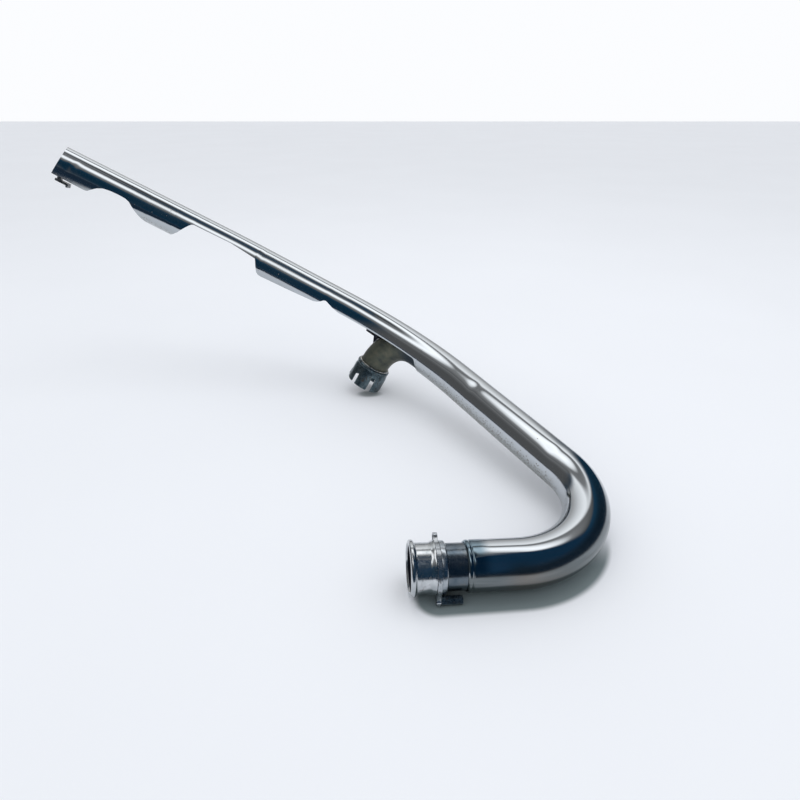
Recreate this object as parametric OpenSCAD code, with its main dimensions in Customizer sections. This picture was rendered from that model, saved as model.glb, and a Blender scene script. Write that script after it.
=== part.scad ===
// Motorcycle exhaust header: a chromed double-wall pipe with a tight first bend, whose outer
// jacket runs on as an open-bottomed heat shield past a slotted outlet collar.
// Millimetres, +Z up, lying on the floor as photographed. Every leg and bend is drawn in its
// own frame: local +Z along the pipe, local +X toward the inside of the bends.

/* [What to draw] */
// One piece, or all of them
// Facets of a full circle
curve_fn = 72; // [24:8:128]

/* [Port end, where it lies] */
// Middle of the mouth, left to right
port_x = 150.65; // [60:0.01:260]
// Middle of the mouth, front to back
port_y = -263.61; // [-400:0.01:-150]
// Middle of the mouth above the floor
port_z = 25.06; // [24:0.01:45]
// Heading of the first leg, turned from +X toward +Y
port_turn = 5.3; // [-20:0.1:30]
// How far the first leg dips toward the floor
port_dip = 1.4; // [0:0.1:12]

/* [Centreline] */
// Mouth to the start of the first bend
leg1_len = 95.2; // [70:0.1:160]
// Centreline radius of the first bend
bend1_radius = 88; // [60:0.5:140]
// Angle of the first bend
bend1_angle = 114.9; // [60:0.1:150]
// Roll of the first bend's plane about the first leg
bend1_roll = 6.7; // [-20:0.1:30]
// Straight between the first and second bends
leg2_len = 190.9; // [120:0.1:260]
// Roll of the plane that holds the rest of the pipe
shell_roll = 34.7; // [0:0.5:60]
// Centreline radius of the second bend
bend2_radius = 281; // [150:1:400]
// Angle of the second bend
bend2_angle = 43.2; // [15:0.1:60]
// Straight between the second and third bends
leg3_len = 139.6; // [80:0.1:240]
// Centreline radius of the third bend
bend3_radius = 375; // [200:1:600]
// Angle of the third bend
bend3_angle = 6.5; // [4:0.1:25]
// Straight from the third bend to the shield's end
leg4_len = 274; // [150:0.1:400]

/* [Pipe and jacket] */
// Outside diameter of the inner pipe
pipe_od = 40.6; // [34:0.1:50]
// Wall of the inner pipe
pipe_wall = 1.6; // [1:0.1:3]
// Outside diameter of the chromed jacket and shield
jacket_od = 45; // [40:0.1:60]
// Wall of the jacket and shield
jacket_wall = 1.2; // [0.8:0.1:2.5]
// Mouth to the jacket's front edge
jacket_start = 48.6; // [36:0.1:80]
// Length over which the jacket closes onto the pipe
jacket_neck = 2; // [1:0.1:8]
// Jacket's front edge to the middle of its crimp groove
crimp_at = 4.4; // [4:0.1:12]
// Depth of the crimp groove
crimp_depth = 0.6; // [0.2:0.1:1]
// Gap between parts that sit on one another
seat_gap = 0.1; // [0.05:0.05:0.3]

/* [Port sleeve and lip] */
// Outside diameter of the sleeve that enters the port
sleeve_od = 43.4; // [38:0.1:54]
// Mouth to the sleeve's back end
sleeve_len = 22.4; // [12:0.1:40]
// Outside diameter of the sleeve's flared back end
flare_od = 46.6; // [40:0.1:56]
// Length of the flare at the sleeve's back end
flare_len = 3.8; // [1:0.1:8]
// Outside diameter of the rolled lip
lip_od = 49; // [42:0.1:60]
// Width of the rolled lip along the pipe
lip_width = 5; // [3:0.1:8]
// Depth of the flat land round the lip's outside
lip_land = 0.15; // [0.05:0.05:0.6]
// Bore of the flared mouth
mouth_bore = 43.2; // [36:0.1:52]
// Length of the flare inside the mouth
mouth_flare = 3; // [1:0.1:6]

/* [Port flange] */
// Outside diameter of the flange's round body
flange_od = 47; // [44:0.1:70]
// Thickness of the flange plate
flange_thick = 3.8; // [3:0.1:10]
// Distance between the two ear holes
ear_spacing = 53; // [48:0.1:90]
// Radius of the ear ends
ear_radius = 4.3; // [4:0.1:14]
// Diameter of the ear holes
ear_hole = 5.2; // [4:0.1:11]
// Direction of the upper ear about the pipe
ear_turn = 46.9; // [0:0.01:180]
// Clearance of the flange's bore on the pipe, a side
flange_play = 1.2; // [0.1:0.05:1.5]
// Direction in which the loose flange hangs
flange_hang = 225; // [180:1:300]

/* [Stop ring] */
// Outside diameter of the ring welded behind the flange
ring_od = 45.6; // [42:0.1:60]
// Width of the ring along the pipe
ring_width = 5.4; // [3:0.1:12]

/* [Ear nut] */
// Width across the flats of the long nut
nut_flats = 7.6; // [6:0.1:14]
// Length of the long nut
nut_len = 18.8; // [6:0.1:30]
// Bore of the long nut
nut_bore = 4.6; // [3:0.1:9]
// Turn of the nut that lays one of its flats on the floor
nut_turn = 13.3; // [0:0.1:60]

/* [Outlet elbow and collar] */
// Start of the second bend to the outlet elbow, along the centreline
outlet_at = 84.6; // [60:0.5:150]
// Centreline radius of the outlet elbow
elbow_radius = 54.5; // [30:0.5:80]
// Angle of the outlet elbow
elbow_angle = 84.8; // [45:0.5:100]
// Roll of the outlet elbow about the pipe
elbow_roll = -91.1; // [-120:0.5:-40]
// Straight stub between the elbow and the collar's shoulder
stub_len = 2.32; // [2:0.01:30]
// Outside diameter of the collar's skirt
collar_od = 49; // [44:0.1:60]
// Wall of the collar's skirt
collar_wall = 1.9; // [1:0.1:4]
// Collar's length from shoulder to finger tips
collar_len = 31.5; // [15:0.1:50]
// Length of the collar's neck that grips the pipe
collar_neck = 6; // [3:0.1:12]
// Number of slots in the collar
slot_count = 6; // [3:1:8]
// Width of each slot
slot_width = 6.4; // [2:0.1:8]
// Depth of each slot from the finger tips
slot_depth = 20.5; // [8:0.1:30]
// Direction of the first slot
slot_turn = 34; // [0:1:60]

/* [Shield rims, heights from the centreline plane] */
// Back rim along the whole shield
back_rim = 7; // [-5:0.1:14]
// Near rim beside the outlet
outlet_rim = -6.5; // [-12:0.1:6]
// Near rim of the first deep panel at its front
panel1_front_rim = -8; // [-20:0.1:2]
// Near rim of the first deep panel at its end
panel1_end_rim = -14; // [-20:0.1:2]
// Near rim of the narrow strip
strip_rim = 9.2; // [0:0.1:16]
// Near rim of the second deep panel
panel2_rim = -22; // [-22:0.1:-8]
// Near rim inside the scalloped cut-out
scallop_rim = -1.1; // [-8:0.1:10]
// Near rim of the end panel at its front
end_front_rim = -19.8; // [-22:0.1:-8]
// Near rim of the end panel at the very end
end_back_rim = -18.4; // [-22:0.1:-8]

/* [Shield stations, along each leg] */
// Second bend's start to the front of the outlet cut-out
cutout_at = 64.5; // [50:0.5:110]
// Length of the cut-out's rounded front corner
cutout_corner = 12; // [10:0.5:40]
// Third leg's start to the peak in front of the first deep panel
panel1_at = 22; // [12:0.5:60]
// Third leg's start to the end of the first deep panel
panel1_end = 130; // [90:0.5:136]
// Fourth leg's start to the front of the second deep panel
panel2_at = 58; // [40:0.5:110]
// Fourth leg's start to the end of the second deep panel
panel2_end = 126; // [110:0.5:160]
// Fourth leg's start to the front of the end panel
end_at = 218; // [200:0.5:250]
// Slant of the end cut, the near side being the shorter
end_slant = 27.5; // [0:0.1:40]
// Nod of the end cut, the top being the shorter
end_nod = 13; // [0:0.1:30]

/* [Hanger plate and rear strap] */
// Thickness of the hanger plate's shelf
hanger_thick = 5; // [2:0.1:6]
// Length of the shelf beyond the outlet's axis
hanger_reach = 22.5; // [22:0.1:45]
// Depth of the hanger's web under the shelf
hanger_drop = 14; // [4:0.1:20]
// Length of the rear strap along the shield
strap_len = 20.5; // [12:0.1:45]
// Strap's rear end to the shield's end
strap_inset = 7.5; // [2:0.1:20]
// Width of the rear strap
strap_width = 7.6; // [8:0.1:24]
// Thickness of the rear strap
strap_thick = 3.2; // [1.5:0.1:4]
// Length of the strap's turned-down front end
strap_curl = 2.4; // [0.5:0.1:6]
// Drop of the rear strap below the shield's axis
strap_drop = 25.6; // [23:0.1:34]

/* [Hidden] */
$fn = curve_fn;
eps = 0.01;
far = 60;
jacket_r = jacket_od / 2;
jacket_bore_r = jacket_r - jacket_wall;
pipe_r = pipe_od / 2;
pipe_start = mouth_flare + seat_gap;
// neighbours lap into one another by lap, and each bend is a skin thicker than its straights
lap = 0.3;
skin = 0.04;
bend_deg = 180 / PI;
outlet_angle = outlet_at / bend2_radius * bend_deg;
cutout_angle = cutout_at / bend2_radius * bend_deg;
open_angle = (cutout_at + cutout_corner) / bend2_radius * bend_deg;
lap_angle = lap / bend2_radius * bend_deg;
flange_at = sleeve_len + seat_gap;
flange_r = flange_od / 2;
ring_at = flange_at + flange_thick + seat_gap;
nut_at = ring_at;
flange_bore_r = pipe_r + flange_play;
flange_shift = flange_play - seat_gap;
collar_bore_r = pipe_r + seat_gap;
skirt_bore_r = collar_od / 2 - collar_wall;
pipe_end = stub_len + collar_neck - 1;
shelf_top = outlet_rim - seat_gap;
strap_top = -strap_drop + strap_thick;

// frames along the centreline
module port_frame()
    translate([port_x, port_y, port_z]) rotate([0, port_dip, port_turn]) rotate([90, 0, 90])
        children();
module along_bend(radius, angle)
    translate([radius, 0, 0]) rotate([0, angle, 0]) translate([-radius, 0, 0]) children();
module bend1_frame()
    port_frame() translate([0, 0, leg1_len]) rotate([0, 0, bend1_roll]) children();
module leg2_frame()
    bend1_frame() along_bend(bend1_radius, bend1_angle)
        rotate([0, 0, shell_roll - bend1_roll]) children();
module bend2_frame() leg2_frame() translate([0, 0, leg2_len]) children();
module leg3_frame() bend2_frame() along_bend(bend2_radius, bend2_angle) children();
module bend3_frame() leg3_frame() translate([0, 0, leg3_len]) children();
module leg4_frame() bend3_frame() along_bend(bend3_radius, bend3_angle) children();
module outlet_frame()
    bend2_frame() along_bend(bend2_radius, outlet_angle) rotate([0, 0, elbow_roll]) children();
module stub_frame() outlet_frame() along_bend(elbow_radius, elbow_angle) children();
// beside the elbow, level with the shield: +Z along the shield, +Y away from the outlet
module hanger_frame()
    bend2_frame() along_bend(bend2_radius, outlet_angle) translate([0, 0, elbow_radius])
        children();

// sweeps of a flat section
module straight(length) linear_extrude(height = length) children();
module bent(radius, angle)
    translate([radius, 0, 0]) rotate([90, 0, 180])
        rotate_extrude(angle = angle) translate([radius, 0]) mirror([1, 0]) children();
module ring(outer_r, inner_r)
    difference() {
        circle(r = outer_r);
        circle(r = inner_r);
    }
module jacket_ring(extra = 0) ring(jacket_r + extra, jacket_bore_r - extra);
module pipe_ring(extra = 0) ring(pipe_r + extra, pipe_r - pipe_wall - extra);
// the jacket's ring with the back cut away below its rim, and the front below near_rim
module shield_ring(near_rim, extra = 0)
    difference() {
        jacket_ring(extra);
        translate([-far, back_rim + extra - far]) square([far, far]);
        translate([-eps, near_rim + extra - far]) square([far, far]);
    }
// cuts the near side of the shield below an outline of [station, height] points
module near_cut(points)
    rotate([0, -90, 0]) mirror([0, 0, 1]) linear_extrude(height = far)
        polygon(concat([[points[0][0], -far]], points, [[points[len(points) - 1][0], -far]]));

module jacket_neck_profile()
    polygon([
        [pipe_r + seat_gap, 0],
        [pipe_r + seat_gap + 0.8, 0],
        [jacket_r - 0.3, jacket_neck * 0.55],
        [jacket_r, jacket_neck],
        [jacket_r, crimp_at - 1.1],
        [jacket_r - crimp_depth, crimp_at - 0.4],
        [jacket_r - crimp_depth, crimp_at + 0.4],
        [jacket_r, crimp_at + 1.1],
        [jacket_r, leg1_len - jacket_start + lap],
        [jacket_bore_r, leg1_len - jacket_start + lap],
        [jacket_bore_r, crimp_at + 2.5],
        [jacket_bore_r - crimp_depth, crimp_at + 0.6],
        [jacket_bore_r - crimp_depth, crimp_at - 0.6],
        [pipe_r + seat_gap + 0.5, jacket_neck * 0.8],
        [pipe_r + seat_gap, jacket_neck * 0.4]
    ]);

module jacket() {
    color("silver") {
        port_frame() translate([0, 0, jacket_start]) rotate_extrude() jacket_neck_profile();
        bend1_frame() bent(bend1_radius, bend1_angle) jacket_ring(skin);
        leg2_frame() translate([0, 0, -lap]) straight(leg2_len + 2 * lap) jacket_ring();
        difference() {
            union() {
                bend2_frame() bent(bend2_radius, open_angle + lap_angle) jacket_ring(skin);
                bend2_frame() along_bend(bend2_radius, open_angle)
                    bent(bend2_radius, bend2_angle - open_angle) shield_ring(outlet_rim, 2 * skin);
            }
            bend2_frame() along_bend(bend2_radius, cutout_angle) outlet_corner();
        }
        leg3_frame() difference() {
            translate([0, 0, -lap]) straight(leg3_len + 2 * lap) shield_ring(-far / 2);
            near_cut([
                [-1, outlet_rim],
                [panel1_at - 20, outlet_rim + 0.4],
                [panel1_at - 12, outlet_rim + 2.2],
                [panel1_at - 5, outlet_rim + 4.8],
                [panel1_at, outlet_rim + 6.8],
                [panel1_at + 3, outlet_rim + 6.4],
                [panel1_at + 8, panel1_front_rim + 3.4],
                [panel1_at + 13, panel1_front_rim + 0.6],
                [panel1_at + 18, panel1_front_rim - 0.8],
                [panel1_at + 56, panel1_front_rim - 3.6],
                [panel1_end - 6, panel1_end_rim],
                [panel1_end - 1, panel1_end_rim + 0.6],
                [panel1_end + 2, panel1_end_rim + 4],
                [panel1_end + 5, panel1_end_rim + 12],
                [panel1_end + 9, strip_rim - 3.6],
                [leg3_len + 1, strip_rim - 1.6]
            ]);
        }
        bend3_frame() difference() {
            bent(bend3_radius, bend3_angle) shield_ring(-far / 2, skin);
            near_cut([
                [-1, strip_rim - 1.6 + skin],
                [3, strip_rim + 0.3],
                [bend3_radius * sin(bend3_angle) + far / 4, strip_rim + skin]
            ]);
        }
        leg4_frame() difference() {
            translate([0, 0, -lap]) straight(leg4_len + lap) shield_ring(-far / 2);
            near_cut([
                [-1, strip_rim],
                [panel2_at, strip_rim - 0.6],
                [panel2_at + 3, strip_rim - 2.6],
                [panel2_at + 17, strip_rim - 20.5],
                [panel2_at + 24, panel2_rim + 4.6],
                [panel2_at + 29, panel2_rim + 1],
                [panel2_at + 33, panel2_rim],
                [panel2_end, panel2_rim],
                [panel2_end + 6, panel2_rim + 2.6],
                [panel2_end + 14, panel2_rim + 8.6],
                [panel2_end + 20, scallop_rim - 7.4],
                [panel2_end + 25, scallop_rim - 2.6],
                [panel2_end + 31, scallop_rim - 0.6],
                [panel2_end + 40, scallop_rim],
                [end_at - 38, scallop_rim - 0.4],
                [end_at - 27, scallop_rim - 2],
                [end_at - 18, scallop_rim - 6],
                [end_at - 6, end_front_rim + 4.4],
                [end_at - 1, end_front_rim + 1.2],
                [end_at + 5, end_front_rim],
                [leg4_len + 1, end_back_rim]
            ]);
            end_cut();
        }
    }
}
module end_cut()
    translate([0, 0, leg4_len]) rotate([-end_nod, end_slant, 0])
        translate([-far, -far, 0]) cube([2 * far, 2 * far, far]);
// the rounded front corner of the outlet cut-out, right through the underside
module outlet_corner()
    rotate([0, -90, 0]) mirror([0, 0, 1]) translate([0, 0, -far / 2]) linear_extrude(height = far)
        polygon([
            [0, -far], [0, -jacket_r], [0.7, outlet_rim - 12], [2, outlet_rim - 7],
            [3.8, outlet_rim - 2.8], [6, outlet_rim - 0.6], [9, outlet_rim],
            [cutout_corner + 0.5, outlet_rim], [cutout_corner + 0.5, -far]
        ]);

module inner_pipe() {
    color("slategray") {
        port_frame() translate([0, 0, pipe_start])
            straight(leg1_len - pipe_start + lap) pipe_ring();
        bend1_frame() bent(bend1_radius, bend1_angle) pipe_ring(skin);
        leg2_frame() translate([0, 0, -lap]) straight(leg2_len + 2 * lap) pipe_ring();
        bend2_frame() bent(bend2_radius, outlet_angle + lap_angle) pipe_ring(skin);
        outlet_frame() bent(elbow_radius, elbow_angle) pipe_ring(2 * skin);
        stub_frame() translate([0, 0, -lap]) straight(pipe_end + lap) pipe_ring();
    }
}

module port_sleeve() {
    color("gainsboro") port_frame() rotate_extrude() difference() {
        union() {
            translate([pipe_r + seat_gap, 0])
                square([sleeve_od / 2 - pipe_r - seat_gap, sleeve_len]);
            translate([lip_od / 2 + lip_land - lip_width / 2, lip_width / 2])
                circle(d = lip_width);
            polygon([
                [pipe_r + seat_gap, sleeve_len - flare_len],
                [sleeve_od / 2 - eps, sleeve_len - flare_len],
                [flare_od / 2, sleeve_len - 0.8],
                [flare_od / 2, sleeve_len],
                [pipe_r + seat_gap, sleeve_len]
            ]);
            translate([pipe_r + seat_gap, lip_width * 0.15])
                square([lip_od / 2 - lip_width / 2 - pipe_r - seat_gap, lip_width * 0.7]);
        }
        polygon([
            [0, -1], [mouth_bore / 2, -1], [mouth_bore / 2, 0],
            [pipe_r + seat_gap, mouth_flare], [0, mouth_flare]
        ]);
        translate([0, -1]) square([pipe_r + seat_gap, sleeve_len + 2]);
        translate([lip_od / 2, -1]) square([2, lip_width + 2]);
    }
}

// the flange hangs on the pipe, off its axis by the play
module flange_frame()
    port_frame() rotate([0, 0, flange_hang]) translate([flange_shift, 0, flange_at])
        rotate([0, 0, ear_turn - flange_hang]) children();
module port_flange() {
    color("lightgray") flange_frame() difference() {
        union() {
            cylinder(r = flange_r, h = flange_thick);
            for (side = [0, 180]) rotate([0, 0, side]) {
                translate([ear_spacing / 2, 0, 0]) cylinder(r = ear_radius, h = flange_thick);
                linear_extrude(height = flange_thick) polygon([
                    [flange_bore_r - 4, flange_r * 0.55],
                    [ear_spacing / 2, ear_radius - skin],
                    [ear_spacing / 2, -ear_radius + skin],
                    [flange_bore_r - 4, -flange_r * 0.55]
                ]);
            }
        }
        translate([0, 0, -1]) cylinder(r = flange_bore_r, h = flange_thick + 2);
        for (side = [-1, 1]) translate([side * ear_spacing / 2, 0, -1])
            cylinder(d = ear_hole, h = flange_thick + 2);
    }
}

module stop_ring() {
    color("silver") port_frame() translate([0, 0, ring_at]) rotate_extrude() polygon([
        [pipe_r + seat_gap, 0],
        [ring_od / 2 - 0.6, 0],
        [ring_od / 2, 0.6],
        [ring_od / 2, ring_width - 1.4],
        [ring_od / 2 - 1.4, ring_width],
        [pipe_r + seat_gap, ring_width]
    ]);
}

module ear_nut() {
    color("dimgray") flange_frame()
        translate([-ear_spacing / 2, 0, nut_at - flange_at]) rotate([0, 0, nut_turn]) difference() {
            cylinder(d = nut_flats / cos(30), h = nut_len, $fn = 6);
            translate([0, 0, -1]) cylinder(d = nut_bore, h = nut_len + 2);
        }
}

module outlet_collar() {
    color("darkslategray") stub_frame() translate([0, 0, stub_len]) difference() {
        rotate_extrude() polygon([
            [collar_bore_r, 0],
            [collar_od / 2 - 1.6, 0],
            [collar_od / 2 - 0.4, 1.2],
            [collar_od / 2 - 0.4, 3.4],
            [collar_od / 2 - 1.2, 4.2],
            [collar_od / 2 - 0.8, 6],
            [collar_od / 2, 10],
            [collar_od / 2, collar_len],
            [skirt_bore_r, collar_len],
            [skirt_bore_r, collar_neck + 1.5],
            [collar_bore_r, collar_neck]
        ]);
        for (k = [0 : slot_count - 1]) rotate([0, 0, slot_turn + k * 360 / slot_count])
            translate([skirt_bore_r - 4, -slot_width / 2, collar_len - slot_depth])
                cube([collar_wall + 8, slot_width, slot_depth + 1]);
    }
}

module hanger_plate() {
    color("darkslateblue") difference() {
        hanger_frame() union() {
            translate([-16, shelf_top - hanger_thick, 0])
                cube([37.6, hanger_thick, hanger_reach]);
            translate([10, 0, 0]) rotate([0, -90, 0]) linear_extrude(height = 4) polygon([
                [0, shelf_top - hanger_thick + 1],
                [hanger_reach - 6, shelf_top - hanger_thick + 1],
                [hanger_reach - 12.5, shelf_top - hanger_thick - hanger_drop],
                [0, shelf_top - hanger_thick - hanger_drop]
            ]);
        }
        outlet_frame() bent(elbow_radius, elbow_angle) circle(r = pipe_r + 2 * seat_gap);
        stub_frame() translate([0, 0, -lap]) cylinder(r = pipe_r + 2 * seat_gap, h = far / 2);
    }
}

// a strap under the end panel, held by a riser against the shield's near side
module rear_strap() {
    color("rosybrown") leg4_frame() translate([0, 0, leg4_len - strap_len - strap_inset]) {
        translate([3, -strap_drop, 0]) cube([strap_width, strap_thick, strap_len]);
        translate([3, -strap_drop - strap_curl, 0]) cube([strap_width, strap_curl + 1, strap_thick]);
        translate([5, strap_top - 1, strap_len - 8]) cube([4.6, 6.4, 6]);
        translate([0, 0, strap_len - 8]) intersection() {
            cylinder(r = jacket_bore_r - seat_gap, h = 6);
            translate([5, -19, 0]) cube([12, 5, 6]);
        }
    }
}

jacket();
inner_pipe();
port_sleeve();
port_flange();
stop_ring();
ear_nut();
outlet_collar();
hanger_plate();
rear_strap();
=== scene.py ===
import bpy
import bmesh
from math import asin, atan2, cos, exp, degrees, pi, radians, sin
from mathutils import Matrix, Vector, noise


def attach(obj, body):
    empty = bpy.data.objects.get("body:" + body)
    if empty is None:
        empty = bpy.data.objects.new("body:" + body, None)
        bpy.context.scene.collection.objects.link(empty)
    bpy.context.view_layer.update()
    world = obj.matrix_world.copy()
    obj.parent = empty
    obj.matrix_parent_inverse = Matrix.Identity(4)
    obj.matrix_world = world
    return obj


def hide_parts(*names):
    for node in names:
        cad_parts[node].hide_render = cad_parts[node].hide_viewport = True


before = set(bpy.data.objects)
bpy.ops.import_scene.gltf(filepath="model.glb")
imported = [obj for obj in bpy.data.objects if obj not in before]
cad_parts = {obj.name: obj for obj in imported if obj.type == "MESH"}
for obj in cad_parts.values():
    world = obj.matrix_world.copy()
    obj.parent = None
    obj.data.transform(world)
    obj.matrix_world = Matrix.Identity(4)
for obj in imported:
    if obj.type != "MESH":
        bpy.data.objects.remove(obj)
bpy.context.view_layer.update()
print("frame loaded")

mm = 0.001

# the solids' own centreline: legs by length, bends by (radius, degrees), rolls and turns in degrees
route = {
    "mouth": (150.65, -263.61, 25.06), "heading": 5.3, "dip": 1.4,
    "leg1": 95.2, "bend1": (88, 114.9), "roll1": 6.7,
    "leg2": 190.9, "shellRoll": 34.7, "bend2": (281, 43.2),
    "leg3": 139.6, "bend3": (375, 6.5), "leg4": 274,
    "outletAt": 84.6, "elbow": (54.5, 84.8), "elbowRoll": -91.1, "stub": 2.4,
}
pipe = {"radius": 20.3, "wall": 1.6, "start": 3.1, "intoCollar": 5, "around": 72, "step": 2.6}


def turn(axis, angle):
    return Matrix.Rotation(radians(angle), 4, axis)


def shift(x=0, y=0, z=0):
    return Matrix.Translation(Vector((x, y, z)))


def alongBend(radius, angle):
    return shift(x=radius) @ turn("Y", angle) @ shift(x=-radius)


def bendLength(bend):
    return bend[0] * radians(bend[1])


# frames at the start of every leg and bend, in mm
atMouth = (shift(*route["mouth"]) @ turn("Z", route["heading"]) @ turn("Y", route["dip"])
           @ turn("Z", 90) @ turn("X", 90))
atBend1 = atMouth @ shift(z=route["leg1"]) @ turn("Z", route["roll1"])
atLeg2 = atBend1 @ alongBend(*route["bend1"]) @ turn("Z", route["shellRoll"] - route["roll1"])
atBend2 = atLeg2 @ shift(z=route["leg2"])
atLeg3 = atBend2 @ alongBend(*route["bend2"])
atBend3 = atLeg3 @ shift(z=route["leg3"])
atLeg4 = atBend3 @ alongBend(*route["bend3"])
atOutlet = (atBend2 @ alongBend(route["bend2"][0], degrees(route["outletAt"] / route["bend2"][0]))
            @ turn("Z", route["elbowRoll"]))
atStub = atOutlet @ alongBend(*route["elbow"])

startOf = {}   # station of each stretch's start, measured along the centreline
startOf["bend1"] = route["leg1"]
startOf["leg2"] = startOf["bend1"] + bendLength(route["bend1"])
startOf["bend2"] = startOf["leg2"] + route["leg2"]
startOf["leg3"] = startOf["bend2"] + bendLength(route["bend2"])
startOf["bend3"] = startOf["leg3"] + route["leg3"]
startOf["leg4"] = startOf["bend3"] + bendLength(route["bend3"])
startOf["end"] = startOf["leg4"] + route["leg4"]
startOf["outlet"] = startOf["bend2"] + route["outletAt"]


def onShell(station):   # frame at a station of the long run
    if station < startOf["bend1"]:
        return atMouth @ shift(z=station)
    if station < startOf["leg2"]:
        return atBend1 @ alongBend(route["bend1"][0],
                                   degrees((station - startOf["bend1"]) / route["bend1"][0]))
    if station < startOf["bend2"]:
        return atLeg2 @ shift(z=station - startOf["leg2"])
    if station < startOf["leg3"]:
        return atBend2 @ alongBend(route["bend2"][0],
                                   degrees((station - startOf["bend2"]) / route["bend2"][0]))
    if station < startOf["bend3"]:
        return atLeg3 @ shift(z=station - startOf["leg3"])
    if station < startOf["leg4"]:
        return atBend3 @ alongBend(route["bend3"][0],
                                   degrees((station - startOf["bend3"]) / route["bend3"][0]))
    return atLeg4 @ shift(z=station - startOf["leg4"])


def onPipe(station):    # the inner pipe leaves the run through the outlet elbow
    if station < startOf["outlet"]:
        return onShell(station)
    past = station - startOf["outlet"]
    elbowLength = bendLength(route["elbow"])
    if past < elbowLength:
        return atOutlet @ alongBend(route["elbow"][0], degrees(past / route["elbow"][0]))
    return atStub @ shift(z=past - elbowLength)


def rollAt(station, onElbow=False):   # each stretch's own roll, so that columns stay in line
    if station < startOf["bend1"]:
        return route["shellRoll"]
    if station < startOf["leg2"]:
        return route["shellRoll"] - route["roll1"]
    if onElbow and station >= startOf["outlet"]:
        return -route["elbowRoll"]
    return 0


def ramp(value, points):   # straight lines between [place, height] points
    if value <= points[0][0]:
        return points[0][1]
    for (x0, y0), (x1, y1) in zip(points, points[1:]):
        if value <= x1:
            return y0 + (y1 - y0) * (value - x0) / (x1 - x0)
    return points[-1][1]


def hump(value, middle, width):
    return exp(-((value - middle) / width) ** 2)


def easeIn(value, start, end):
    t = min(max((value - start) / (end - start), 0), 1)
    return t * t * (3 - 2 * t)


def makeObject(name, bm, material, sharpAngle=None):
    mesh = bpy.data.meshes.new(name)
    bm.to_mesh(mesh)
    bm.free()
    for face in mesh.polygons:
        face.use_smooth = True
    if sharpAngle:
        mesh.set_sharp_from_angle(angle=radians(sharpAngle))
    mesh.materials.append(material)
    piece = bpy.data.objects.new(name, mesh)
    bpy.context.scene.collection.objects.link(piece)
    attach(piece, "root")
    return piece


def turnedOut(flat):
    # the outward direction at a point of a rolled sheet, in the route's frame there
    return turn("Z", rollAt(flat.z / mm)).to_3x3() @ Vector((flat.x, flat.y, 0))


def rolledSheet(name, stations, across, place, material):
    # a flat grid, one column per station, rolled round the route by place(station, t)
    bm = bmesh.new()
    bmesh.ops.create_grid(bm, x_segments=len(stations) - 1, y_segments=across, size=0.5)
    unbent = bm.verts.layers.float_vector.new("unbent")
    for vert in bm.verts:
        column = round((vert.co.x + 0.5) * (len(stations) - 1))
        point, flat = place(stations[column], vert.co.y + 0.5)
        vert.co = point * mm
        vert[unbent] = flat * mm
    bmesh.ops.remove_doubles(bm, verts=bm.verts, dist=0.004 * mm)
    bm.normal_update()
    face = max(bm.faces, key=lambda f: f.calc_area())
    middle = face.verts[0][unbent]
    outward = onShell(middle.z / mm).to_3x3() @ turnedOut(middle)
    if face.normal.dot(outward) < 0:
        bmesh.ops.reverse_faces(bm, faces=bm.faces)
    return makeObject(name, bm, material)


def softRim(piece, width, steps=2, angle=50):
    rim = piece.modifiers.new("soft rim", "BEVEL")
    rim.width = width * mm
    rim.segments = steps
    rim.limit_method = "ANGLE"
    rim.angle_limit = radians(angle)
    rim.harden_normals = True


def giveWall(piece, thickness, rimWidth):
    wall = piece.modifiers.new("wall", "SOLIDIFY")
    wall.thickness = thickness * mm
    wall.offset = -1
    wall.use_even_offset = True
    softRim(piece, rimWidth)


def node(tree, kind, inputs=None, **settings):
    # a node with its settings; an input is a number, a colour or another node's socket
    made = tree.nodes.new("ShaderNode" + kind)
    for key, value in settings.items():
        setattr(made, key, value)
    for key, value in (inputs or {}).items():
        if isinstance(value, bpy.types.NodeSocket):
            tree.links.new(value, made.inputs[key])
        else:
            made.inputs[key].default_value = value
    return made


def sums(tree, operation, a, b=0.0, clamp=False, plus=None):
    inputs = {0: a, 1: b}
    if plus is not None:
        inputs[2] = plus
    return node(tree, "Math", inputs, operation=operation, use_clamp=clamp).outputs[0]


def times(tree, a, b, clamp=False):
    return sums(tree, "MULTIPLY", a, b, clamp)


def added(tree, a, b, clamp=False):
    return sums(tree, "ADD", a, b, clamp)


def vectorMath(tree, operation, a, b=(0, 0, 0), out="Vector"):
    return node(tree, "VectorMath", {0: a, 1: b}, operation=operation).outputs[out]


def splitAxes(tree, value):
    return node(tree, "SeparateXYZ", {0: value}).outputs


def spread(tree, value, low, high, toLow=0.0, toHigh=1.0, kind="SMOOTHSTEP"):
    return node(tree, "MapRange", {"Value": value, "From Min": low, "From Max": high,
                                   "To Min": toLow, "To Max": toHigh},
                interpolation_type=kind).outputs[0]


def fade(tree, value, places, toLow=0.0, toHigh=1.0):
    # a smooth step between two places in mm
    return spread(tree, value, places[0] * mm, places[1] * mm, toLow, toHigh)


def blendColor(tree, factor, a, b, kind="MIX"):
    # a constant colour is three numbers
    made = tree.nodes.new("ShaderNodeMix")
    made.data_type = "RGBA"
    made.blend_type = kind
    for key, value in ((0, factor), (6, a), (7, b)):
        if isinstance(value, bpy.types.NodeSocket):
            tree.links.new(value, made.inputs[key])
        else:
            made.inputs[key].default_value = value if key == 0 else (*value, 1)
    return made.outputs[2]


def colorRamp(tree, factor, stops):
    made = node(tree, "ValToRGB", {"Fac": factor})
    elements = made.color_ramp.elements
    while len(elements) < len(stops):
        elements.new(0.5)
    for element, (place, color) in zip(elements, stops):
        element.position = place
        element.color = (*color, 1)
    return made.outputs["Color"]


def grey(value):
    return (value, value, value)


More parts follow.
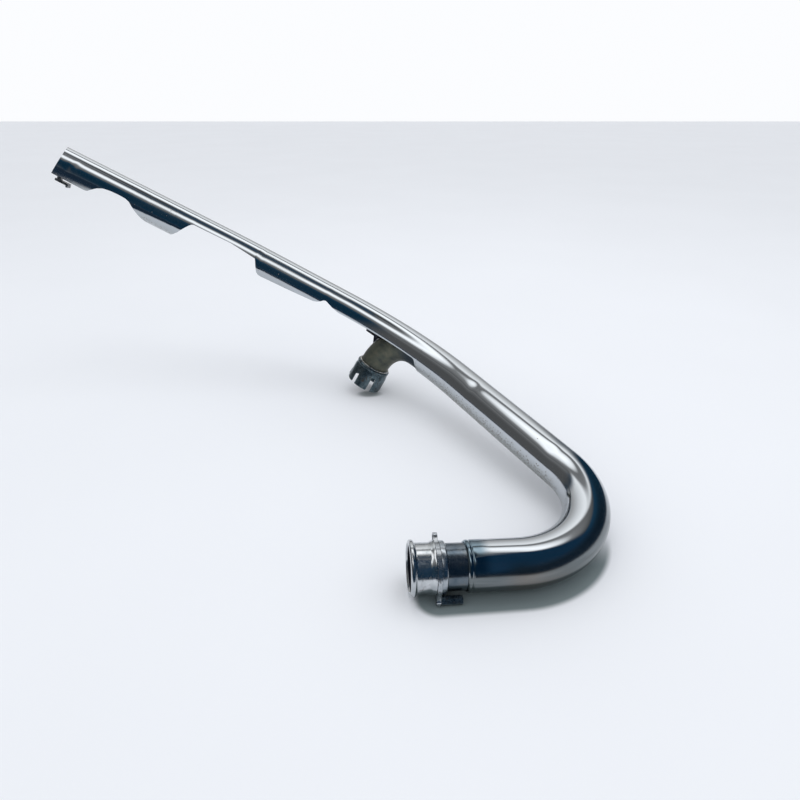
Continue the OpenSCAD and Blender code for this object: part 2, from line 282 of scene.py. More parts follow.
def speckle(tree, coords, scale, detail=3.0, roughness=0.55, stretch=(1, 1, 1)):
    mapped = node(tree, "Mapping", {"Vector": coords, "Scale": stretch}).outputs[0]
    return node(tree, "TexNoise", {"Vector": mapped, "Scale": scale, "Detail": detail,
                                   "Roughness": roughness}).outputs[0]


def startMaterial(name):
    material = bpy.data.materials.new(name)
    material.use_nodes = True
    tree = material.node_tree
    shader = tree.nodes["Principled BSDF"]
    shader.inputs["Metallic"].default_value = 1.0
    return material, tree, shader


def plug(tree, shader, **inputs):
    names = {"color": "Base Color", "roughness": "Roughness", "metallic": "Metallic",
             "normal": "Normal"}
    for key, value in inputs.items():
        tree.links.new(value, shader.inputs[names[key]])


def bumps(tree, height, strength, distance):
    return node(tree, "Bump", {"Height": height, "Strength": strength,
                               "Distance": distance * mm}).outputs[0]


def unbentPlace(tree):      # x and y across the tube, z the station, as if the route were straight
    return node(tree, "Attribute", attribute_name="unbent", attribute_type="GEOMETRY").outputs["Vector"]


white = (1, 1, 1)
sootColor = (0.010, 0.012, 0.020)

# chrome plate of the jacket and shield; places are (from, to) in mm
chromeLook = {
    "plate": (0.50, 0.53, 0.56), "rough": 0.055, "film": (0.29, 0.305, 0.29), "dullRough": 0.26,
    "heatTint": (0.26, 0.19, 0.14), "heatStart": (74, 96), "heatEnd": (140, 100), "heatSide": (10, 18),
    "grimeAndShade": (0.13, 0.150, 0.155), "grimeAndShadeEnd": (250, 180), "grimeAndShadeSide": (16.2, 20.0),
    "startBlue": (0.10, 0.17, 0.22), "blueEnd": (71, 59), "blueSide": (4, 10),
    "rust": (0.10, 0.062, 0.035), "orange": (0.42, 0.33, 0.24), "pitScale": 620.0,
    "pitStart": (235, 275), "pitEnd": (530, 440), "lowSide": (-4, -19), "panelLow": (-12.5, -16),
    "floorSide": ((70, 157), (218, 112)),     # (station, direction) where the dirty side with painted shade starts and ends
}


def chromeMaterial():
    look = chromeLook
    material, tree, shader = startMaterial("pitted chrome")
    place = unbentPlace(tree)
    across, height, station = splitAxes(tree, place)
    low = fade(tree, height, look["lowSide"])
    streaks = speckle(tree, place, 90, 3, 0.6, (1, 1, 0.10))
    cloud = speckle(tree, place, 28, 2, 0.5, (1, 1, 0.4))
    grain = speckle(tree, place, 900, 2, 0.6)
    # dull grey film, heavier low down on the long leg
    longLeg = times(tree, fade(tree, station, look["pitStart"]), fade(tree, station, look["pitEnd"]))
    film = times(tree, low, sums(tree, "MULTIPLY_ADD", longLeg, 0.75, plus=0.5), True)
    film = added(tree, film, times(tree, spread(tree, cloud, 0.50, 0.72), 0.16), True)
    # pits: small cells, kept by chance: many low on the long leg and on the panels, few elsewhere
    cells = node(tree, "TexVoronoi", {"Vector": place, "Scale": look["pitScale"], "Randomness": 1.0})
    chance = splitAxes(tree, cells.outputs["Color"])[0]
    allow = added(tree, times(tree, times(tree, low, longLeg), 0.85),
                  times(tree, spread(tree, cloud, 0.50, 0.66), 0.012))
    onPanels = times(tree, fade(tree, station, (startOf["leg3"], startOf["leg3"] + 30)),
                     fade(tree, height, look["panelLow"]))
    allow = added(tree, allow, times(tree, onPanels, 0.30))
    kept = sums(tree, "LESS_THAN", chance, allow)
    pit = times(tree, spread(tree, cells.outputs["Distance"], 0.52, 0.20), kept, True)
    # dirt with painted shade, and heat tint, on the floor side of the short leg; that side turns through
    # the first bend
    (firstAt, firstTurn), (lastAt, lastTurn) = look["floorSide"]
    downTurn = spread(tree, station, firstAt * mm, lastAt * mm, radians(firstTurn), radians(lastTurn),
                      "LINEAR")
    down = added(tree, times(tree, across, sums(tree, "COSINE", downTurn)),
                 times(tree, height, sums(tree, "SINE", downTurn)))
    grimeAndShade = times(tree, fade(tree, down, look["grimeAndShadeSide"]), fade(tree, station, look["grimeAndShadeEnd"]))
    grimeAndShade = times(tree, grimeAndShade, spread(tree, streaks, 0.25, 0.6, 0.72, 0.95))
    heat = times(tree, fade(tree, station, look["heatStart"]), fade(tree, station, look["heatEnd"]))
    heat = times(tree, times(tree, heat, fade(tree, down, look["heatSide"])),
                 spread(tree, cloud, 0.35, 0.65, 0.15, 0.75))
    # the jacket's start is darker and bluer on its upper side
    upper = added(tree, times(tree, across, 0.66), times(tree, height, 0.75))
    bluish = times(tree, fade(tree, upper, look["blueSide"]),
                  fade(tree, station, look["blueEnd"], 0.0, 0.85))
    orange = times(tree, longLeg, times(tree, spread(tree, cloud, 0.56, 0.70), 0.35))
    color = blendColor(tree, bluish, look["plate"], look["startBlue"])
    # painted shade mixed with dirt: the floor side of the short leg is darker
    color = blendColor(tree, grimeAndShade, color, look["grimeAndShade"])
    color = blendColor(tree, heat, color, look["heatTint"])
    color = blendColor(tree, times(tree, film, 0.62), color, look["film"])
    color = blendColor(tree, orange, color, look["orange"])
    color = blendColor(tree, times(tree, pit, 0.85), color, look["rust"])
    rough = sums(tree, "MULTIPLY_ADD", spread(tree, streaks, 0.3, 0.7), 0.05, plus=look["rough"])
    rough = added(tree, rough, times(tree, film, look["dullRough"]))
    rough = added(tree, rough, times(tree, grimeAndShade, 0.14))
    rough = added(tree, rough, times(tree, pit, 0.5), True)
    metal = sums(tree, "SUBTRACT", 1.0, times(tree, pit, 0.6))
    ripple = added(tree, times(tree, streaks, 0.5), times(tree, grain, 0.02))
    relief = sums(tree, "SUBTRACT", ripple, times(tree, pit, 0.35))
    plug(tree, shader, color=color, roughness=rough, metallic=metal,
         normal=bumps(tree, relief, 0.35, 0.12))
    return material


def sootMask(tree, radius):
    # 1 within a radius of the mouth's axis, so that bores are sooted and outsides are not
    toMouth = (Matrix.Scale(mm, 4) @ atMouth @ Matrix.Scale(1 / mm, 4)).inverted()
    place = node(tree, "TexCoord").outputs["Object"]
    local = node(tree, "Mapping", {"Vector": place, "Location": toMouth.to_translation(),
                                   "Rotation": toMouth.to_euler()}).outputs[0]
    axes = splitAxes(tree, local)
    flat = node(tree, "CombineXYZ", {0: axes[0], 1: axes[1]}).outputs[0]
    away = vectorMath(tree, "LENGTH", flat, out="Value")
    return times(tree, fade(tree, away, (radius + 0.15, radius - 0.15)), fade(tree, axes[2], (98, 90)))


def steelMaterial(name, dark, pale, rough, stain, stainShare, scale, metal=1.0, relief=0.25,
                  sootWithin=None):
    # worn steel: two tones in clouds, fine grain, stains and rough patches
    material, tree, shader = startMaterial(name)
    shader.inputs["Metallic"].default_value = metal
    place = node(tree, "TexCoord").outputs["Object"]
    cloud = speckle(tree, place, scale, 4, 0.6)
    grain = speckle(tree, place, scale * 9, 2, 0.6)
    patch = speckle(tree, place, scale * 1.7, 5, 0.68)
    cover = spread(tree, patch, 0.62 - stainShare * 0.4, 0.74 - stainShare * 0.2)
    color = colorRamp(tree, cloud, [(0.32, dark), (0.68, pale)])
    color = blendColor(tree, cover, color, stain)
    roughness = added(tree, spread(tree, grain, 0.3, 0.7, rough, rough + 0.12),
                      times(tree, cover, 0.22), True)
    if sootWithin:
        sooted = sootMask(tree, sootWithin)
        color = blendColor(tree, sooted, color, sootColor)
        roughness = added(tree, roughness, times(tree, sooted, 0.45), True)
    height = added(tree, times(tree, cloud, 0.6), times(tree, grain, 0.4))
    plug(tree, shader, color=color, roughness=roughness, normal=bumps(tree, height, relief, 0.25))
    return material


# the inner pipe: heat-tinted blue at the port end, olive-brown and dull at the outlet elbow, with painted
# shade where the elbow leaves the jacket
pipeLook = {
    "bluish": [(0.30, (0.06, 0.09, 0.12)), (0.52, (0.14, 0.17, 0.20)), (0.72, (0.19, 0.19, 0.18))],
    "olive": [(0.30, (0.042, 0.050, 0.048)), (0.50, (0.082, 0.090, 0.070)),
              (0.70, (0.120, 0.115, 0.085))],
    "joinShade": (0.016, 0.028, 0.040), "stain": (0.045, 0.038, 0.030), "rough": 0.14,
}


def pipeMaterial():
    look = pipeLook
    material, tree, shader = startMaterial("heated pipe steel")
    place = unbentPlace(tree)
    station = splitAxes(tree, place)[2]
    atElbow = fade(tree, station, (startOf["outlet"] - 90, startOf["outlet"] - 30))
    atJoin = fade(tree, station, (startOf["outlet"] + 34, startOf["outlet"] - 4))
    cloud = speckle(tree, place, 70, 4, 0.6)
    patch = speckle(tree, place, 190, 5, 0.7)
    grain = speckle(tree, place, 1100, 2, 0.6)
    # painted shade: near-black navy up to the outlet, fading out by 34 mm along the elbow
    olive = blendColor(tree, atJoin, colorRamp(tree, cloud, look["olive"]), look["joinShade"])
    olive = blendColor(tree, spread(tree, patch, 0.58, 0.72, 0.0, 0.7), olive, look["stain"])
    color = blendColor(tree, atElbow, colorRamp(tree, cloud, look["bluish"]), olive)
    sooted = sootMask(tree, pipe["radius"] - pipe["wall"] / 2)
    color = blendColor(tree, sooted, color, sootColor)
    roughness = added(tree, sums(tree, "MULTIPLY_ADD", atElbow, 0.30, plus=look["rough"]),
                      spread(tree, grain, 0.3, 0.7, 0.0, 0.12))
    roughness = added(tree, roughness, times(tree, sooted, 0.4), True)
    metal = spread(tree, atElbow, 0.0, 1.0, 1.0, 0.55)
    height = added(tree, times(tree, patch, 0.7), times(tree, grain, 0.3))
    plug(tree, shader, color=color, roughness=roughness, metallic=metal,
         normal=bumps(tree, height, 0.30, 0.25))
    return material


chrome = chromeMaterial()
pipeSteel = pipeMaterial()
print("chrome and pipe steel mixed")

# the chromed jacket, a closed tube that opens into a shield with cut-outs along its near rim
jacket = {
    "radius": 22.5, "wall": 1.2, "start": 48.6, "across": 76, "step": 2.7,
    "tuck": [(0, 1.3), (1.1, 0.3), (2.0, 0)],        # how far the start is drawn in: (past it, depth)
    "crimpAt": 4.4, "crimpDepth": 0.6, "wrinkle": 0.16, "waves": 0.07,
    "cutoutAt": 64.5, "openAt": 76.5, "backRim": 7,
    "endLength": 40, "endSlopes": (0.5207, 0.2604),  # a slant of 27.5 degrees and a nod of 13
    "pinches": [(8, 42, 0.40), (148, 32, 0.55)],     # station on the long leg, direction, depth
    "dents": [(238, 20, 0.55), (252, 4, 0.45)],      # station on the last leg, direction, depth
}
# the near rim's height above the centreline plane, stretch by stretch
nearRim = {
    "bend2": [(64.5, -22.5), (65.2, -18.5), (66.5, -13.5), (68.3, -9.3), (70.5, -7.1), (73.5, -6.5)],
    "leg3": [(0, -6.5), (2, -6.1), (10, -4.3), (17, -1.7), (22, 0.3), (25, -0.1), (30, -4.6), (35, -7.4),
             (40, -8.8), (78, -11.6), (124, -14), (129, -13.4), (132, -10), (135, -2), (139, 5.6)],
    "leg4": [(0, 9.2), (58, 8.6), (61, 6.6), (75, -11.3), (82, -17.4), (87, -21), (91, -22), (126, -22),
             (132, -19.4), (140, -13.4), (146, -8.5), (151, -3.7), (157, -1.7), (166, -1.1), (180, -1.5),
             (191, -3.1), (200, -7.1), (212, -15.4), (217, -18.6), (223, -19.8), (275, -18.4)],
}
rimPoints = [(startOf[leg] + at, rim) for leg in ("bend2", "leg3", "leg4") for at, rim in nearRim[leg]]
openPoints = [(startOf["bend2"] + at, rim)
              for at, rim in nearRim["bend2"] + [(jacket["openAt"], jacket["backRim"])]]


def jacketStations():
    stations = [jacket["start"] + step for step in (0, 0.35, 0.7, 1.1, 1.6, 2.0)]
    stations += [jacket["start"] + jacket["crimpAt"] + step * 0.22 for step in range(-7, 8)]
    front = startOf["bend2"] + jacket["cutoutAt"]
    while stations[-1] < startOf["end"] - 1.5:
        near = abs(stations[-1] - front - 5) < 9
        stations.append(stations[-1] + (0.7 if near else jacket["step"]))
    stations[-1] = startOf["end"]
    return stations


def jacketRadius(station, phi):
    ahead = station - jacket["start"]
    radius = jacket["radius"] - ramp(ahead, jacket["tuck"])
    radius -= jacket["crimpDepth"] * hump(ahead, jacket["crimpAt"], 0.8)
    radius += jacket["wrinkle"] * hump(ahead, 12, 5) * sin(phi * 9) * hump(cos(phi - 1.4), 1, 0.7)
    for at, direction, depth in jacket["pinches"]:
        radius -= depth * hump(station, startOf["leg2"] + at, 9) * hump(degrees(phi), direction, 30)
    for at, direction, depth in jacket["dents"]:
        radius -= depth * hump(station, startOf["leg4"] + at, 6) * hump(degrees(phi), direction, 16)
    wave = noise.noise(Vector((station / 46, 1.6 * cos(phi), 1.6 * sin(phi))))
    return radius + jacket["waves"] * wave * easeIn(ahead, 8, 30)


def placeJacket(station, t):
    rim = ramp(station, rimPoints)
    nearEdge = degrees(asin(max(rim / jacket["radius"], -1)))
    farEdge = 180 - degrees(asin(max(ramp(station, openPoints) / jacket["radius"], -1)))
    phi = radians(nearEdge + t * (farEdge - nearEdge))
    radius = jacketRadius(station, phi)
    x, y = radius * cos(phi), radius * sin(phi)
    lastPart = startOf["end"] - jacket["endLength"]
    if station > lastPart:      # the end is cut on a slant, nodding down toward the near side
        slant, nod = jacket["endSlopes"]
        reach = jacket["endLength"] - x * slant - y * nod
        station = lastPart + (station - lastPart) * reach / jacket["endLength"]
    roll = turn("Z", rollAt(station))
    return onShell(station) @ roll @ Vector((x, y, 0)), Vector((x, y, station))


jacketShell = rolledSheet("jacket_shell", jacketStations(), jacket["across"], placeJacket, chrome)
giveWall(jacketShell, jacket["wall"], 0.22)
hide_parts("jacket")
print("jacket rolled")


def pipeStations():
    inCollar = startOf["outlet"] + bendLength(route["elbow"]) + route["stub"] + pipe["intoCollar"]
    stations = [pipe["start"]]
    while stations[-1] < inCollar - 2:
        hidden = jacket["start"] + 10 < stations[-1] < startOf["outlet"] - 60
        stations.append(stations[-1] + (7 if hidden else pipe["step"]))
    stations[-1] = inCollar
    return stations


def placePipe(station, t):
    phi = radians(-90 + 360 * t)
    radius = pipe["radius"] + 0.05 * noise.noise(Vector((station / 15, 2 * cos(phi), 2 * sin(phi))))
    x, y = radius * cos(phi), radius * sin(phi)
    roll = turn("Z", rollAt(station, onElbow=True))
    return onPipe(station) @ roll @ Vector((x, y, 0)), Vector((x, y, station))


innerTube = rolledSheet("inner_tube", pipeStations(), pipe["around"], placePipe, pipeSteel)
giveWall(innerTube, pipe["wall"], 0.3)
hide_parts("inner_pipe")
print("inner pipe rolled")


def copyOfNode(nodeName):
    # the solid's triangles, joined into one skin and cleared of flat-face diagonals
    bm = bmesh.new()
    bm.from_mesh(bpy.data.objects[nodeName].data)
    bmesh.ops.remove_doubles(bm, verts=bm.verts, dist=0.002 * mm)
    bmesh.ops.dissolve_limit(bm, angle_limit=radians(0.6), verts=bm.verts, edges=bm.edges,
                             delimit={"NORMAL"})
    return bm


def spinRound(bm, profile, steps=96):
    # a closed profile of (radius, along) points in mm, spun about the local Z axis
    corners = [bm.verts.new(Vector((radius, 0, along))) for radius, along in profile]
    rim = [bm.edges.new(pair) for pair in zip(corners, corners[1:] + corners[:1])]
    bmesh.ops.spin(bm, geom=corners + rim, cent=(0, 0, 0), axis=(0, 0, 1), angle=2 * pi,
                   steps=steps, use_merge=True, use_duplicate=False)
    bmesh.ops.recalc_face_normals(bm, faces=bm.faces)


def settle(bm, frameAt):    # from mm in a frame of the route to the scene's metres
    bmesh.ops.transform(bm, matrix=Matrix.Scale(mm, 4) @ frameAt, verts=bm.verts)


def roundedCorners(points, radius, steps=4):
    # an outline with each corner turned into a short arc of points
    outline = []
    count = len(points)
    for index, point in enumerate(points):
        before = Vector(points[index - 1]) - Vector(point)
        after = Vector(points[(index + 1) % count]) - Vector(point)
        reach = min(radius, before.length * 0.45, after.length * 0.45)
        a = Vector(point) + before.normalized() * reach
        b = Vector(point) + after.normalized() * reach
        for step in range(steps + 1):
            t = step / steps
            middle = a.lerp(Vector(point), t).lerp(Vector(point).lerp(b, t), t)
            outline.append((middle.x, middle.y))
    return outline


# bright sleeve with its rolled lip, flaring at the back
sleeve = {
    "radius": 21.7, "length": 22.4, "bore": 20.4, "mouth": 21.6, "mouthDepth": 3,
    "lipRadius": 24.5, "lipWidth": 5, "lipRound": 2.5, "lipLand": 0.15,
    "flareRadius": 23.3, "flareFrom": 18.4,
    "flatRings": (6.2, 6.9, 11, 16.4, 17.2),     # they keep the straight band's shading straight
}
brightSteel = steelMaterial("bright sleeve steel", (0.40, 0.43, 0.45), (0.60, 0.62, 0.64), 0.10,
                            stain=(0.20, 0.19, 0.18), stainShare=0.12, scale=110, relief=0.10,
                            sootWithin=21.0)
s = sleeve
lipArc = [(s["lipRadius"] - s["lipRound"] + s["lipLand"] + s["lipRound"] * cos(radians(a)),
           s["lipWidth"] / 2 + s["lipRound"] * sin(radians(a))) for a in range(-90, 91, 12)]
lipArc = [(min(radius, s["lipRadius"]), along) for radius, along in lipArc]
sleeveProfile = [(s["bore"], s["mouthDepth"]), (s["mouth"], 0.3), (s["mouth"] + 0.3, 0.02)]
sleeveProfile += lipArc
sleeveProfile += [(s["radius"] + 0.35, s["lipWidth"] + 0.05), (s["radius"], s["lipWidth"] + 0.5)]
sleeveProfile += [(s["radius"], along) for along in s["flatRings"]]
sleeveProfile += [(s["radius"], s["flareFrom"] - 0.6), (s["radius"] + 0.25, s["flareFrom"] + 0.3),
                  (s["radius"] + 1.0, s["flareFrom"] + 2.0), (s["flareRadius"], s["flareFrom"] + 3.2),
                  (s["flareRadius"], s["length"] - 0.15), (s["flareRadius"] - 0.15, s["length"]),
                  (s["bore"], s["length"])]
bm = bmesh.new()
spinRound(bm, sleeveProfile)
settle(bm, atMouth)
lipSleeve = makeObject("lip_sleeve", bm, brightSteel, sharpAngle=50)
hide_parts("port_sleeve")

# welded ring behind the flange
ring = {"radius": 22.8, "bore": 20.4, "front": 26.4, "back": 31.8, "slope": (1.3, 1.2)}
ringSteel = steelMaterial("blue-grey ring steel", (0.26, 0.30, 0.34), (0.52, 0.55, 0.58), 0.13,
                          stain=(0.14, 0.13, 0.12), stainShare=0.18, scale=130, relief=0.15)
ringProfile = [(ring["bore"], ring["front"]), (ring["radius"], ring["front"]),
               (ring["radius"], ring["back"] - ring["slope"][1]),
               (ring["radius"] - ring["slope"][0], ring["back"]), (ring["bore"], ring["back"])]
bm = bmesh.new()
spinRound(bm, roundedCorners(ringProfile, 0.5))
settle(bm, atMouth)
stopCollar = makeObject("stop_collar", bm, ringSteel, sharpAngle=60)
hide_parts("stop_ring")

# loose two-ear flange: the solid's plate with its edges eased
flangeSteel = steelMaterial("worn flange plate", (0.30, 0.33, 0.36), (0.56, 0.59, 0.62), 0.15,
                            stain=(0.10, 0.095, 0.09), stainShare=0.22, scale=140, relief=0.15)
eared = makeObject("eared_flange", copyOfNode("port_flange"), flangeSteel, sharpAngle=35)
softRim(eared, 0.45, 3, 40)
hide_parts("port_flange")

nutSteel = steelMaterial("dull nut steel", (0.05, 0.075, 0.09), (0.20, 0.25, 0.28), 0.22,
                         stain=(0.09, 0.065, 0.05), stainShare=0.20, scale=200)
longNut = makeObject("long_nut", copyOfNode("ear_nut"), nutSteel, sharpAngle=30)
softRim(longNut, 0.35, 2, 25)
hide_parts("ear_nut")
print("port end dressed")

# slotted outlet collar: the solid's shape with one finger sprung outward
collar = {"slotFrom": 11, "length": 31.5, "springTurn": 186, "springOut": 2.2}
collarSteel = steelMaterial("dark collar steel", (0.025, 0.045, 0.055), (0.15, 0.20, 0.225), 0.20,
                            stain=(0.07, 0.055, 0.045), stainShare=0.20, scale=120, relief=0.3, metal=0.9)
bm = copyOfNode("outlet_collar")
bmesh.ops.triangulate(bm, faces=bm.faces)
toCollar = (atStub @ shift(z=route["stub"])).inverted()
for vert in bm.verts:
    at = toCollar @ (vert.co / mm)
    away = abs((degrees(atan2(at.y, at.x)) - collar["springTurn"] + 180) % 360 - 180)
    if away < 28:
        lift = collar["springOut"] * easeIn(at.z, collar["slotFrom"], collar["length"])
        outward = Vector((at.x, at.y, 0)).normalized()
        vert.co = (toCollar.inverted() @ (at + outward * lift)) * mm
slotted = makeObject("slotted_collar", bm, collarSteel, sharpAngle=35)
softRim(slotted, 0.3, 2, 40)
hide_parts("outlet_collar")

# weld bead where the collar's neck meets the pipe
bead = {"radius": 21.3, "thick": 1.15, "at": -0.4, "lumps": 34, "corners": 12, "steps": 216}
weldSteel = steelMaterial("weld bead", (0.22, 0.22, 0.21), (0.62, 0.62, 0.60), 0.22,
                          stain=(0.10, 0.07, 0.05), stainShare=0.2, scale=240)
beadTurns = [2 * pi * corner / bead["corners"] for corner in range(bead["corners"])]
bm = bmesh.new()
spinRound(bm, [(bead["radius"] + bead["thick"] * cos(a), bead["at"] + bead["thick"] * sin(a))
               for a in beadTurns], bead["steps"])
for vert in bm.verts:     # the lumps of a hand-run bead
    turnAt = atan2(vert.co.y, vert.co.x)
    centre = Vector((bead["radius"] * cos(turnAt), bead["radius"] * sin(turnAt), bead["at"]))
    swell = 1 + 0.16 * abs(sin(turnAt * bead["lumps"] / 2)) + 0.12 * noise.noise(vert.co * 0.35)
    vert.co = centre + (vert.co - centre) * swell
settle(bm, atStub @ shift(z=route["stub"]))
makeObject("collar_weld", bm, weldSteel)
print("outlet collar dressed")

hangerSteel = steelMaterial("blue-black hanger steel", (0.008, 0.012, 0.024), (0.050, 0.060, 0.085), 0.30,
                            stain=(0.06, 0.04, 0.03), stainShare=0.25, scale=140, metal=0.8)
shelf = makeObject("hanger_shelf", copyOfNode("hanger_plate"), hangerSteel, sharpAngle=35)
softRim(shelf, 0.5, 2, 40)
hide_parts("hanger_plate")

# rear strap with fine ribs pressed across its outer face
strap = {"length": 20.5, "inset": 7.5, "width": 7.6, "left": 3, "drop": 25.6, "thick": 3.2,
         "ribs": 6, "ribHigh": 0.45, "ribWide": 1.1, "firstRib": 4.6, "ribSpan": 14.1}
strapSteel = steelMaterial("ribbed strap steel", (0.10, 0.105, 0.11), (0.36, 0.37, 0.38), 0.28,
                           stain=(0.12, 0.085, 0.06), stainShare=0.35, scale=260)
strapPlate = makeObject("strap_plate", copyOfNode("rear_strap"), strapSteel, sharpAngle=35)
softRim(strapPlate, 0.35, 2, 40)
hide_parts("rear_strap")
strapFront = atLeg4 @ shift(z=route["leg4"] - strap["length"] - strap["inset"])
bm = bmesh.new()
for rib in range(strap["ribs"]):
    along = strap["firstRib"] + rib * strap["ribSpan"] / (strap["ribs"] - 1)
    onFace = ((strap["ribHigh"] * 2, strap["thick"] * 0.86, strap["ribWide"]),
              (strap["left"] + strap["width"], -strap["drop"] + strap["thick"] / 2, along))
    onUnderside = ((strap["width"] * 0.86, strap["ribHigh"] * 2, strap["ribWide"]),
                   (strap["left"] + strap["width"] / 2, -strap["drop"], along))
    for size, at in (onFace, onUnderside):
        made = bmesh.ops.create_cube(bm, size=1)
        bmesh.ops.scale(bm, vec=size, verts=made["verts"])
        bmesh.ops.translate(bm, vec=at, verts=made["verts"])
bmesh.ops.bevel(bm, geom=list(bm.edges), offset=0.22, offset_type="OFFSET", segments=2, profile=0.5,
                affect="EDGES", material=-1)
settle(bm, strapFront)
makeObject("strap_ribs", bm, strapSteel, sharpAngle=40)
print("hanger and strap dressed")

# pale floor, and the room floor that only the metal mirrors; places are (from, to)
studio = {
    "floorSize": 14.0, "floorColor": (0.83, 0.86, 0.915), "roomFloor": (0.003, 0.026, 0.060),
    "paleLeft": (-0.73, -0.63), "paleRight": (0.80, 0.70), "paleFront": (-0.47, -0.39),     # in m
    "shade": (0.19, 0.235, 0.25), "shadeReach": 12.5, "shadeLean": 12, "shadeEdge": (23.5, 16.5),
    "shadeFrom": 24, "bendStart": (4, -2), "bendFade": (0, -55),
    "collarAt": (0.100, 0.122, 0), "collarSquash": (1, 1.8, 0), "collarEdge": (22, 10),
    "collarShade": 0.72,
}


def hardShade(tree, place):
    # in the photo a high lamp behind leaves a hard shade in front of the short leg, round the first
    # bend and under the collar; here it is a darker patch of the floor
    lean = radians(studio["shadeLean"])
    aside = Vector((sin(lean), -cos(lean), 0)) * studio["shadeReach"] * mm
    angle = radians(route["heading"])
    heading = Vector((cos(angle), sin(angle), 0))
    toSide = Vector((-heading.y, heading.x, 0))
    legStart = Vector((route["mouth"][0], route["mouth"][1], 0)) * mm
    bendCentre = legStart + (heading * route["leg1"] + toSide * route["bend1"][0]) * mm
    # how far a point lies from the leg's line
    fromLeg = vectorMath(tree, "SUBTRACT", place, legStart + aside)
    along = vectorMath(tree, "DOT_PRODUCT", fromLeg, heading, "Value")
    along = sums(tree, "MAXIMUM", along, studio["shadeFrom"] * mm)
    along = sums(tree, "MINIMUM", along, route["leg1"] * mm)
    onLeg = node(tree, "VectorMath", {0: heading, "Scale": along}, operation="SCALE").outputs["Vector"]
    offLeg = vectorMath(tree, "LENGTH", vectorMath(tree, "SUBTRACT", fromLeg, onLeg), out="Value")
    # how far it lies from the bend's arc, which starts where the leg ends and fades as the bend rises
    fromBend = vectorMath(tree, "SUBTRACT", place, bendCentre + aside)
    offArc = sums(tree, "SUBTRACT", vectorMath(tree, "LENGTH", fromBend, out="Value"),
                  route["bend1"][0] * mm)
    pastLeg = vectorMath(tree, "DOT_PRODUCT", fromBend, heading, "Value")
    offArc = added(tree, sums(tree, "ABSOLUTE", offArc), fade(tree, pastLeg, studio["bendStart"]))
    deep = vectorMath(tree, "DOT_PRODUCT", fromBend, (0, 1, 0), "Value")
    onArc = times(tree, fade(tree, offArc, studio["shadeEdge"]), fade(tree, deep, studio["bendFade"]))
    shade = sums(tree, "MAXIMUM", fade(tree, offLeg, studio["shadeEdge"]), onArc)
    fromCollar = vectorMath(tree, "SUBTRACT", place, studio["collarAt"])
    squashed = vectorMath(tree, "MULTIPLY", fromCollar, studio["collarSquash"])
    offCollar = vectorMath(tree, "LENGTH", squashed, out="Value")
    return sums(tree, "MAXIMUM", shade,
                fade(tree, offCollar, studio["collarEdge"], 0.0, studio["collarShade"]))


def floorMaterial():
    material, tree, shader = startMaterial("white sweep")
    shader.inputs["Metallic"].default_value = 0
    shader.inputs["Roughness"].default_value = 0.8
    shader.inputs["Specular IOR Level"].default_value = 0.2
    place = node(tree, "TexCoord").outputs["Object"]
    tones = [(0.3, tuple(0.985 * c for c in studio["floorColor"])), (0.7, studio["floorColor"])]
    color = colorRamp(tree, speckle(tree, place, 3, 2, 0.5), tones)
    color = blendColor(tree, hardShade(tree, place), color, studio["shade"])
    # the pale sweep ends beside the camera: beyond it the metal mirrors a dark room floor
    axes = splitAxes(tree, place)
    pale = times(tree, spread(tree, axes[0], *studio["paleLeft"]),
                 spread(tree, axes[0], *studio["paleRight"]))
    pale = times(tree, pale, spread(tree, axes[1], *studio["paleFront"]))
    onlyMirrored = node(tree, "LightPath").outputs["Is Glossy Ray"]
    beyond = times(tree, sums(tree, "SUBTRACT", 1.0, pale), onlyMirrored)
    plug(tree, shader, color=blendColor(tree, beyond, color, studio["roomFloor"]))
    return material


bm = bmesh.new()
bmesh.ops.create_grid(bm, x_segments=4, y_segments=4, size=studio["floorSize"] / 2)
bmesh.ops.translate(bm, vec=(0, 0, -0.05 * mm), verts=bm.verts)
mesh = bpy.data.meshes.new("floor")
bm.to_mesh(mesh)
bm.free()
mesh.materials.append(floorMaterial())
floor = bpy.data.objects.new("floor", mesh)
bpy.context.scene.collection.objects.link(floor)
print("floor laid")

# the room that the metal mirrors, as (height of the direction, brightness): a pale sweep behind the
# header, a bright ceiling ring, a dark room elsewhere; the camera and the fill see plain tones
room = {
    "background": (0.97, 0.98, 1.0), "fill": 0.93,
    "behind": [(0.00, 0.42), (0.20, 0.52), (0.40, 0.80), (0.58, 1.15), (0.70, 1.45), (0.745, 0.32),
               (0.80, 0.24), (0.835, 1.40), (0.88, 1.95), (0.935, 1.80), (0.965, 0.55), (0.985, 0.08)],
    "dark": [(0.00, 0.06), (0.02, 0.045), (0.06, 0.034), (0.50, 0.034), (0.64, 0.055), (0.72, 0.20),
             (0.80, 0.34), (0.85, 1.35), (0.90, 1.90), (0.94, 1.60), (0.965, 0.55), (0.985, 0.08)],
    "navy": (0.20, 1.05, 2.0), "leftGrey": 3.6, "rightDark": (0.006, 0.03675, 0.08),
}


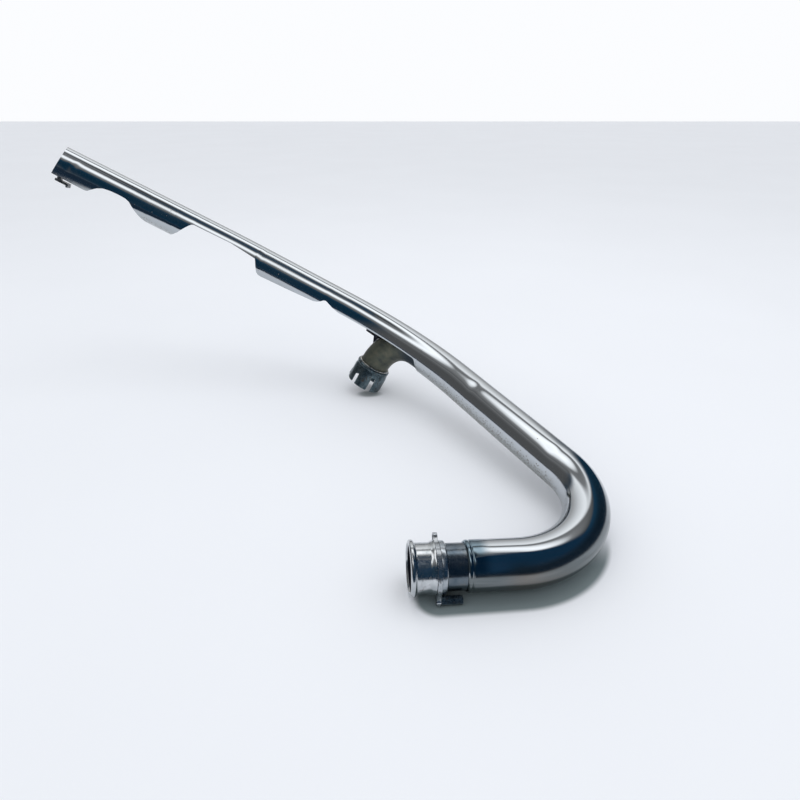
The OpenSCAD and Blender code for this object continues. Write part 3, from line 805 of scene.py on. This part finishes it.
def roomWorld():
    world = bpy.data.worlds.new("pale room")
    world.use_nodes = True
    tree = world.node_tree
    tree.nodes.clear()
    axes = splitAxes(tree, node(tree, "TexCoord").outputs["Generated"])
    level = sums(tree, "SUBTRACT", 1.0, sums(tree, "POWER", axes[2], 2.0))
    level = sums(tree, "SQRT", sums(tree, "MAXIMUM", level, 0.0001))
    toBack = sums(tree, "DIVIDE", axes[1], level)
    toLeft = times(tree, sums(tree, "DIVIDE", axes[0], level), -1.0)
    up = sums(tree, "MAXIMUM", axes[2], 0.0)
    behind = colorRamp(tree, up, [(at, grey(value)) for at, value in room["behind"]])
    dark = colorRamp(tree, up, [(at, grey(value)) for at, value in room["dark"]])
    # only what is dark turns navy, and less so on the left
    darkness = splitAxes(tree, dark)[0]
    tint = blendColor(tree, spread(tree, darkness, 0.045, 0.13), room["navy"], white)
    tint = blendColor(tree, spread(tree, toLeft, 0.60, 0.88), tint, grey(room["leftGrey"]))
    tint = blendColor(tree, spread(tree, darkness, 0.06, 0.16), tint, white)
    dark = blendColor(tree, 1.0, dark, tint, "MULTIPLY")
    # no bright ceiling in front on the right
    frontRight = times(tree, spread(tree, toLeft, -0.05, -0.35), spread(tree, toBack, 0.45, 0.10))
    frontRight = times(tree, frontRight, spread(tree, up, 0.985, 0.955))
    dark = blendColor(tree, frontRight, dark, room["rightDark"])
    # the pale sweep fades out from 31 degrees aside of straight back, and from 22 on the right
    sweep = times(tree, spread(tree, toBack, 0.70, 0.86), spread(tree, toLeft, -0.56, -0.38))
    mirrored = blendColor(tree, sweep, dark, behind)
    rays = node(tree, "LightPath").outputs
    seen = blendColor(tree, rays["Is Glossy Ray"], grey(room["fill"]), mirrored)
    seen = blendColor(tree, rays["Is Camera Ray"], seen, room["background"])
    backdrop = node(tree, "Background", {"Color": seen, "Strength": 1.0})
    tree.links.new(backdrop.outputs[0], node(tree, "OutputWorld").inputs[0])
    return world


bpy.context.scene.world = roomWorld()

ceiling = {"place": (0.35, 0.25, 1.7), "aim": (0.05, -0.05, 0), "size": 1.3, "power": 5.0}
lampData = bpy.data.lights.new("soft ceiling", "AREA")
lampData.shape = "DISK"
lampData.size = ceiling["size"]
lampData.energy = ceiling["power"]
lamp = bpy.data.objects.new("soft ceiling", lampData)
lamp.location = ceiling["place"]
lamp.rotation_euler = (Vector(ceiling["aim"]) - lamp.location).to_track_quat("-Z", "Y").to_euler()
lamp.visible_glossy = False
bpy.context.scene.collection.objects.link(lamp)

# camera at the photograph's place: 27.2 degrees down, straight along +Y
view = {"place": (0.14355, -0.67120, 0.39690), "down": 27.154, "lens": 27.9}
cameraData = bpy.data.cameras.new("camera")
cameraData.lens = view["lens"]
cameraData.sensor_width = 36
cameraData.clip_start = 0.01
camera = bpy.data.objects.new("camera", cameraData)
camera.location = view["place"]
camera.rotation_euler = (radians(90 - view["down"]), 0, 0)
bpy.context.scene.collection.objects.link(camera)
bpy.context.scene.camera = camera
bpy.context.scene.view_settings.view_transform = "Standard"
print("room, lamp and camera placed")
